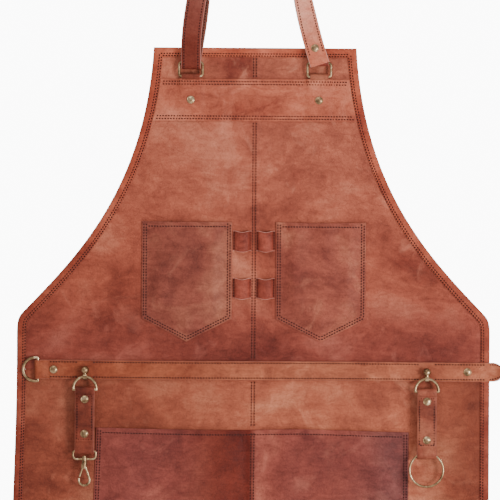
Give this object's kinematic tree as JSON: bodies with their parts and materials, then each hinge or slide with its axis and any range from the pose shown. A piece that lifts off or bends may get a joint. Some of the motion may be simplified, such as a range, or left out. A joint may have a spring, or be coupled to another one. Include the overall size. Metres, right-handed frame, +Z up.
{
  "type": "leather apron on a hook",
  "caption": "Leather work apron with chest and waist pockets, tool loops, neck strap, waist belt and ring and snap hangers, hanging from a wall hook.",
  "frame": {"origin": "middle of the wall hook plate's back face, on the wall, midway between its screw holes", "axes": "+Z up; -Y out of the wall, the way the apron's front faces; +X to the right of someone facing the apron"},
  "size_m": [0.6694, 0.0735, 1.359],
  "materials": {
    "body_leather": "satin",
    "binding_leather": "satin",
    "pocket_leather": "satin",
    "strap_leather": "satin",
    "antique_brass": "aged",
    "hook_brass": "aged",
    "hook_iron": "matt black"
  },
  "bodies": {
    "wall_hook": {"hook_plate": "hook_iron", "hook_arm": "hook_iron", "hook_rosette": "hook_iron", "hook_knob": "hook_brass"},
    "neck_strap": {"neck_strap_left": "strap_leather", "neck_strap_right": "strap_leather", "strap_keeper": "strap_leather", "strap_tip_stud": "antique_brass", "neck_strap_rivet": "antique_brass"},
    "neck_rings": {"neck_ring_left": "antique_brass", "neck_ring_right": "antique_brass"},
    "apron": {"bib_left_panel": "body_leather", "bib_right_panel": "body_leather", "skirt_left_panel": "body_leather", "skirt_right_panel": "body_leather", "top_binding": "binding_leather", "left_binding": "binding_leather", "right_binding": "binding_leather", "hem_binding": "binding_leather", "chest_band": "body_leather", "ring_tab_left": "strap_leather", "ring_tab_right": "strap_leather", "band_rivets": "antique_brass", "chest_pocket_left": "pocket_leather", "chest_pocket_right": "pocket_leather", "lower_pocket": "pocket_leather", "tool_loop_upper_left": "pocket_leather", "tool_loop_upper_right": "pocket_leather", "tool_loop_lower_left": "pocket_leather", "tool_loop_lower_right": "pocket_leather", "waist_belt": "strap_leather", "belt_fold": "strap_leather", "belt_rivets": "antique_brass", "waist_strap_tail": "strap_leather", "hanger_stud_left": "antique_brass", "hanger_stud_right": "antique_brass"},
    "belt_ring": {"belt_d_ring": "antique_brass"},
    "left_hanger_ring": {"hanger_d_ring_left": "antique_brass"},
    "left_hanger": {"hanger_strap_left": "strap_leather", "hanger_facing_left": "strap_leather", "hanger_rivets_left": "antique_brass"},
    "right_hanger_ring": {"hanger_d_ring_right": "antique_brass"},
    "right_hanger": {"hanger_strap_right": "strap_leather", "hanger_facing_right": "strap_leather", "hanger_rivets_right": "antique_brass"},
    "o_ring": {"o_ring": "antique_brass"},
    "snap_bail": {"snap_bail": "antique_brass"},
    "snap_hook": {"snap_hook": "antique_brass", "snap_gate_pin": "antique_brass"},
    "snap_gate": {"snap_gate": "antique_brass"}
  },
  "joints": [
    {"name": "lift_off_hook", "type": "slide", "parent": "wall_hook", "child": "neck_strap", "axis": [0, 0, 1], "range_m": [0, 0.06]},
    {"name": "neck_rings_swing", "type": "hinge", "parent": "neck_strap", "child": "neck_rings", "pos_m": [0, -0.04, -0.3935], "axis": [-1, 0, 0], "range_deg": [0, 30]},
    {"name": "apron_swing", "type": "hinge", "parent": "neck_rings", "child": "apron", "pos_m": [0, -0.04, -0.4111], "axis": [-1, 0, 0], "range_deg": [0, 35]},
    {"name": "belt_ring_turn", "type": "hinge", "parent": "apron", "child": "belt_ring", "pos_m": [-0.2752, -0.0372, -0.787], "axis": [0, 0, 1], "range_deg": [0, 135]},
    {"name": "left_hanger_ring_turn", "type": "hinge", "parent": "apron", "child": "left_hanger_ring", "pos_m": [-0.2145, -0.0458, -0.8105], "axis": [0, 1, 0], "range_deg": [-8, 8]},
    {"name": "right_hanger_ring_turn", "type": "hinge", "parent": "apron", "child": "right_hanger_ring", "pos_m": [0.222, -0.0458, -0.8105], "axis": [0, 1, 0], "range_deg": [-8, 8]},
    {"name": "left_hanger_swing", "type": "hinge", "parent": "left_hanger_ring", "child": "left_hanger", "pos_m": [-0.2145, -0.0458, -0.812], "axis": [-1, 0, 0], "range_deg": [0, 80]},
    {"name": "right_hanger_swing", "type": "hinge", "parent": "right_hanger_ring", "child": "right_hanger", "pos_m": [0.222, -0.0458, -0.812], "axis": [-1, 0, 0], "range_deg": [0, 80]},
    {"name": "o_ring_swing", "type": "hinge", "parent": "right_hanger", "child": "o_ring", "pos_m": [0.222, -0.0458, -0.892], "axis": [-1, 0, 0], "range_deg": [-4, 45]},
    {"name": "snap_bail_swing", "type": "hinge", "parent": "left_hanger", "child": "snap_bail", "pos_m": [-0.2145, -0.0458, -0.891], "axis": [-1, 0, 0], "range_deg": [-3, 70]},
    {"name": "snap_swivel", "type": "hinge", "parent": "snap_bail", "child": "snap_hook", "pos_m": [-0.2145, -0.0458, -0.9008], "axis": [0, 0, 1], "continuous": true},
    {"name": "snap_gate_open", "type": "hinge", "parent": "snap_hook", "child": "snap_gate", "pos_m": [-0.2164, -0.0458, -0.9106], "axis": [0, -1, 0], "range_deg": [0, 26], "stiffness_Nm_per_rad": 0.01, "springref_deg": -17.19}
  ]
}
